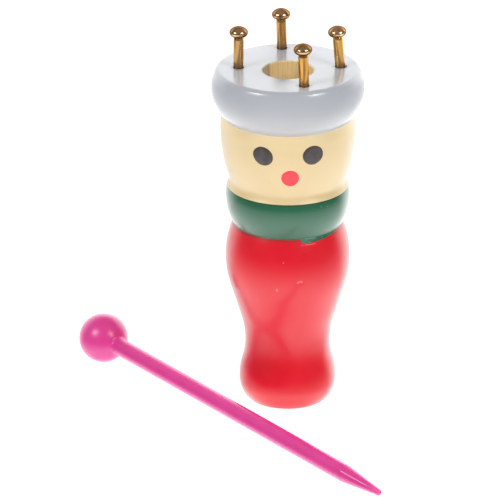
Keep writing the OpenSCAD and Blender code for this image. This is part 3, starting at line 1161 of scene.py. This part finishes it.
face_loop = film(lap(COLLAR_BEAD, FACE_LAP, FACE_LIFT) + FACE)
core = turn_about_axis(core_section, DOLL_SEGMENTS)
piece("gown", *turn_about_axis(gown_section, DOLL_SEGMENTS), "doll", RED, "gown_paint")
piece("collar", *turn_about_axis(collar_section, DOLL_SEGMENTS), "doll", GREEN, "collar_paint")
piece("face", *turn_about_axis(face_loop, DOLL_SEGMENTS), "doll", CREAM, "face_paint")
piece("cap", *joined(cap_side(), cap_top()), "doll", GREY, "cap_paint")
piece("wood_core", *core, "doll", WOOD, "bare_wood", ["turned_body"])
piece("eye_left", *dot(*LEFT_EYE), "doll", DARK, "eye_paint")
piece("eye_right", *dot(*RIGHT_EYE), "doll", DARK, "eye_paint")
piece("nose", *dot(*NOSE), "doll", CORAL, "nose_paint")
for i, cad_node in enumerate(PIN_NODES):
    side = cad_node.split("_")[1]
    brass = brass_with_tarnish_and_shade("brass_" + cad_node, SHANK_BRASS[i], HEAD_BRASS[i])
    piece("pin_socket_" + side, *pin_socket(i), "doll", SOCKET_SHADE_WOOD, "bare_wood")
    piece("brass_pin_" + side, *brass_pin(i), "doll", brass, "brass", [cad_node])
needle = placed(*open_turning(needle_section, NEEDLE_SEGMENTS), needle_matrix())
piece("needle_moulding", *needle, "needle", PLASTIC, "needle_plastic", ["needle"])

# Stage: a lit table, a backdrop behind it, a dim room with a paler ceiling, and two softboxes, in metres

TABLE_SIZE = 12.0
TABLE_GLOW = 1.0
TABLE_WHITE = 0.2
TABLE_ROUGH = 0.9
# Light from each side: spans of a direction's part along an axis, and strengths
TABLE_EDGE = (0.02, 0.72)
TABLE_LIGHT = 2.3
TABLE_SHADE = (0.75, 0.95)
TABLE_SHADED = 0.72
BACKDROP_EDGE = (0.12, 0.65)
BACKDROP_LIGHT = 2.1
BACKDROP_TOP = (0.5, 0.75)
BACKDROP_SIDES = (-0.6, 0.6)
BACKDROP_TILT = (0.86, 1.2)
BACKDROP_RISE = (-0.1, 0.35)
BACKDROP_LIFT = 1.14
ROOM_LIGHT = 0.2
CEILING_EDGE = (0.6, 0.9)
CEILING_LIGHT = 0.36
SOFTBOX_SIZE = 0.36
SOFTBOX_DISTANCE = 1.1
SOFTBOX_POWER = 5.6
LEFT_SOFTBOX = (-0.66, -0.46, 0.6)
RIGHT_SOFTBOX = (0.6, -0.55, 0.58)
CAMERA_TARGET = Vector((-9.425, BORE_DRIFT, 39.12)) * MM
CAMERA_PITCH = math.radians(22.305)
CAMERA_DISTANCE = 1.5
# Lens and sensor of the camera, in millimetres
CAMERA_LENS = 432.0
CAMERA_SENSOR = 36.0


def add_table():
    """White table that glows. It sends the doll no light, because add_room does that in its place."""
    half = TABLE_SIZE / 2
    corners = [(-half, -half, 0), (half, -half, 0), (half, half, 0), (-half, half, 0)]
    mesh = bpy.data.meshes.new("table")
    mesh.from_pydata(corners, [], [(0, 1, 2, 3)])
    material = bpy.data.materials.new("lit_table")
    material.use_nodes = True
    feed(material.node_tree, material.node_tree.nodes["Principled BSDF"], {
        "Base Color": (TABLE_WHITE, TABLE_WHITE, TABLE_WHITE, 1),
        "Roughness": TABLE_ROUGH,
        "Specular IOR Level": 0.0,
        "Emission Color": (1, 1, 1, 1),
        "Emission Strength": TABLE_GLOW,
    })
    mesh.materials.append(material)
    table = bpy.data.objects.new("table", mesh)
    bpy.context.scene.collection.objects.link(table)
    table.visible_diffuse = False
    table.visible_glossy = False


def add_room():
    """Light of the white table and of the backdrop behind it, brighter on the right, in a dim room."""
    world = bpy.data.worlds.new("studio")
    bpy.context.scene.world = world
    world.use_nodes = True
    tree = world.node_tree
    direction = node(tree, "ShaderNodeTexCoord").outputs["Generated"]
    x, y, z = (axis_value(tree, direction, axis) for axis in "XYZ")
    down = product(tree, z, -1.0)
    table = product(
        tree,
        spread(tree, down, *TABLE_EDGE, 0.0, TABLE_LIGHT),
        spread(tree, down, *TABLE_SHADE, 1.0, TABLE_SHADED),
    )
    backdrop = product(
        tree,
        spread(tree, y, *BACKDROP_EDGE, 0.0, BACKDROP_LIGHT),
        spread(tree, z, *BACKDROP_TOP, 1.0, 0.0),
        spread(tree, x, *BACKDROP_SIDES, *BACKDROP_TILT),
        spread(tree, z, *BACKDROP_RISE, 1.0, BACKDROP_LIFT),
    )
    ceiling = spread(tree, z, *CEILING_EDGE, ROOM_LIGHT, CEILING_LIGHT)
    light = largest(tree, table, backdrop, ceiling)
    feed(tree, tree.nodes["Background"], {"Strength": light, "Color": (1, 1, 1, 1)})


def add_softbox(name, direction):
    """Square soft light that shines at the camera's target from a direction."""
    light = bpy.data.lights.new(name, "AREA")
    light.shape = "SQUARE"
    light.size = SOFTBOX_SIZE
    light.energy = SOFTBOX_POWER
    box = bpy.data.objects.new(name, light)
    towards = Vector(direction).normalized()
    box.location = CAMERA_TARGET + towards * SOFTBOX_DISTANCE
    box.rotation_euler = (-towards).to_track_quat("-Z", "Y").to_euler()
    bpy.context.scene.collection.objects.link(box)


def add_camera():
    """Camera at the photograph's angle, in front of the doll and above it."""
    data = bpy.data.cameras.new("camera")
    data.lens = CAMERA_LENS
    data.sensor_width = CAMERA_SENSOR
    camera = bpy.data.objects.new("camera", data)
    look = Vector((0, math.cos(CAMERA_PITCH), -math.sin(CAMERA_PITCH)))
    camera.location = CAMERA_TARGET - look * CAMERA_DISTANCE
    camera.rotation_euler = look.to_track_quat("-Z", "Y").to_euler()
    bpy.context.scene.collection.objects.link(camera)
    bpy.context.scene.camera = camera


add_table()
add_room()
add_softbox("softbox_left", LEFT_SOFTBOX)
add_softbox("softbox_right", RIGHT_SOFTBOX)
add_camera()
bpy.context.scene.view_settings.view_transform = "Standard"
